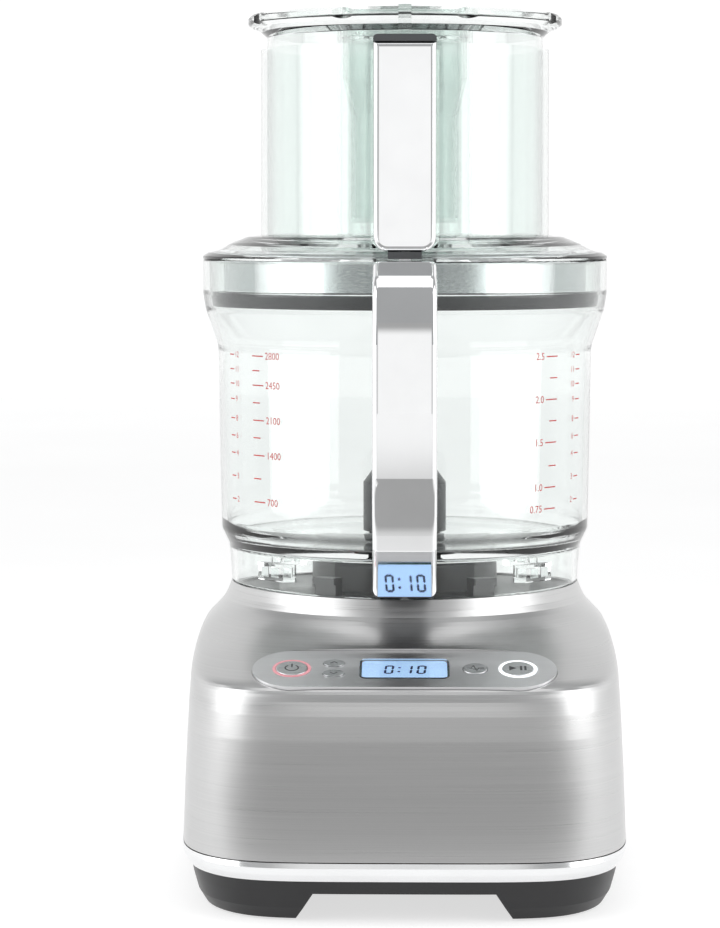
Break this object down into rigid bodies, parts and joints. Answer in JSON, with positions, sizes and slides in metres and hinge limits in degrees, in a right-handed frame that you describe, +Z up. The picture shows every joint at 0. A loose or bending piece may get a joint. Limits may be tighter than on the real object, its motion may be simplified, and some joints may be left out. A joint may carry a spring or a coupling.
{
  "type": "food processor",
  "caption": "Countertop food processor with a steel motor base, clear work bowl and handle, adjustable slicing disc, lid with feed chute and nested pushers.",
  "frame": {"origin": "middle of the footprint on the table, under the four rubber pads", "axes": "+Z up, +Y to the back where the cord enters, +X to the right of a user facing the controls"},
  "size_m": [0.2276, 0.272, 0.45],
  "materials": {
    "brushed_steel": "brushed",
    "polished_chrome": "polished",
    "bright_steel": "polished",
    "tray_plastic": "satin",
    "deck_plastic": "satin",
    "grip_plastic": "satin",
    "spindle_plastic": "satin",
    "silver_plastic": "satin",
    "black_plastic": "satin",
    "clear_plastic": "clear",
    "display_window": "clear",
    "display_body": "satin",
    "circuit_board": "satin",
    "power_ring": "clear",
    "start_ring": "clear",
    "black_rubber": "matte",
    "seal_rubber": "matte",
    "laminated_steel": "matte",
    "copper": "enamelled",
    "cast_aluminium": "cast"
  },
  "bodies": {
    "base": {"housing": "brushed_steel", "rear_cover": "tray_plastic", "cord_bush": "black_rubber", "chrome_trim": "polished_chrome", "bottom_tray": "tray_plastic", "tray_feet": "tray_plastic", "rubber_feet": "black_rubber", "base_screws": "bright_steel", "chassis": "black_plastic", "platform": "deck_plastic", "shaft_seal": "black_rubber", "control_panel": "silver_plastic", "display_lens": "display_window", "display_module": "display_body", "control_board": "circuit_board", "power_light_ring": "power_ring", "start_light_ring": "start_ring", "motor_stator": "laminated_steel", "motor_windings": "copper", "motor_top_bracket": "cast_aluminium", "motor_bottom_bracket": "cast_aluminium", "motor_bearings": "bright_steel", "motor_bolts": "bright_steel", "motor_mounts": "black_rubber", "run_capacitor": "black_plastic", "interlock_switch": "black_plastic", "plunger_spring": "bright_steel"},
    "rotor": {"motor_rotor": "laminated_steel", "motor_shaft": "bright_steel", "cooling_fan": "black_plastic"},
    "power_button_body": {"power_button": "silver_plastic"},
    "start_button_body": {"start_button": "silver_plastic"},
    "pulse_button_body": {"pulse_button": "silver_plastic"},
    "time_up_body": {"time_up_button": "silver_plastic"},
    "time_down_body": {"time_down_button": "silver_plastic"},
    "plunger_body": {"interlock_plunger": "silver_plastic"},
    "bowl_body": {"bowl": "clear_plastic", "handle_cover": "polished_chrome", "handle_grip": "grip_plastic", "handle_screws": "bright_steel", "handle_rod_spring": "bright_steel"},
    "handle_rod_body": {"handle_rod": "silver_plastic"},
    "spindle_body": {"spindle": "spindle_plastic", "disc_hub": "spindle_plastic", "disc_plate": "bright_steel", "slicing_blade": "bright_steel", "blade_screws": "bright_steel"},
    "dial_body": {"thickness_dial": "spindle_plastic"},
    "thickness_body": {"thickness_plate": "bright_steel"},
    "lid_body": {"lid": "clear_plastic", "lid_seal": "seal_rubber", "chute_bar_cover": "polished_chrome", "chute_bar_cap": "grip_plastic", "lid_latch": "grip_plastic", "lid_rod_spring": "bright_steel"},
    "lid_rod_body": {"lid_rod": "silver_plastic"},
    "pusher_body": {"pusher": "clear_plastic"},
    "small_pusher_body": {"small_pusher": "clear_plastic"}
  },
  "joints": [
    {"name": "motor_spin", "type": "hinge", "parent": "base", "child": "rotor", "pos_m": [0, 0.016, 0.08], "axis": [0, 0, 1], "continuous": true},
    {"name": "power_button_press", "type": "slide", "parent": "base", "child": "power_button_body", "axis": [0, -0.2857, 0.9583], "range_m": [-0.0008, 0], "stiffness_N_per_m": 300, "springref_m": 0.0005},
    {"name": "start_button_press", "type": "slide", "parent": "base", "child": "start_button_body", "axis": [0, -0.2857, 0.9583], "range_m": [-0.0008, 0], "stiffness_N_per_m": 300, "springref_m": 0.0005},
    {"name": "pulse_button_press", "type": "slide", "parent": "base", "child": "pulse_button_body", "axis": [0, -0.2857, 0.9583], "range_m": [-0.0008, 0], "stiffness_N_per_m": 300, "springref_m": 0.0005},
    {"name": "time_up_press", "type": "slide", "parent": "base", "child": "time_up_body", "axis": [0, -0.2857, 0.9583], "range_m": [-0.0008, 0], "stiffness_N_per_m": 300, "springref_m": 0.0005},
    {"name": "time_down_press", "type": "slide", "parent": "base", "child": "time_down_body", "axis": [0, -0.2857, 0.9583], "range_m": [-0.0008, 0], "stiffness_N_per_m": 300, "springref_m": 0.0005},
    {"name": "plunger_slide", "type": "slide", "parent": "base", "child": "plunger_body", "axis": [0, 0, 1], "range_m": [-0.004, 0], "stiffness_N_per_m": 80, "springref_m": 0.004, "deforming": ["plunger_spring"]},
    {"name": "bowl_lift", "type": "slide", "parent": "base", "child": "bowl_body", "axis": [0, 0, 1], "range_m": [0, 0.12]},
    {"name": "handle_rod_slide", "type": "slide", "parent": "bowl_body", "child": "handle_rod_body", "axis": [0, 0, 1], "range_m": [-0.004, 0], "stiffness_N_per_m": 100, "springref_m": 0.004, "deforming": ["handle_rod_spring"]},
    {"name": "spindle_spin", "type": "hinge", "parent": "bowl_body", "child": "spindle_body", "pos_m": [0, 0.016, 0.19], "axis": [0, 0, 1], "continuous": true},
    {"name": "thickness_dial_turn", "type": "hinge", "parent": "spindle_body", "child": "dial_body", "pos_m": [0, 0.016, 0.308], "axis": [0, 0, 1], "range_deg": [0, 330]},
    {"name": "thickness_plate_slide", "type": "slide", "parent": "spindle_body", "child": "thickness_body", "axis": [0, 0, 1], "range_m": [-0.0077, 0]},
    {"name": "lid_lift", "type": "slide", "parent": "bowl_body", "child": "lid_body", "axis": [0, 0, 1], "range_m": [0, 0.12]},
    {"name": "lid_rod_slide", "type": "slide", "parent": "lid_body", "child": "lid_rod_body", "axis": [0, 0, 1], "range_m": [-0.004, 0], "stiffness_N_per_m": 150, "springref_m": 0.004, "deforming": ["lid_rod_spring"]},
    {"name": "pusher_slide", "type": "slide", "parent": "lid_body", "child": "pusher_body", "axis": [0, 0, 1], "range_m": [0, 0.125]},
    {"name": "small_pusher_slide", "type": "slide", "parent": "pusher_body", "child": "small_pusher_body", "axis": [0, 0, 1], "range_m": [0, 0.115]}
  ],
  "couplings": [
    {"joint": "spindle_spin", "follows": "motor_spin", "ratio": 1},
    {"joint": "handle_rod_slide", "follows": "lid_rod_slide", "ratio": 1},
    {"joint": "plunger_slide", "follows": "lid_rod_slide", "ratio": 1},
    {"joint": "thickness_plate_slide", "follows": "thickness_dial_turn", "m_per_rad": -0.001336}
  ]
}
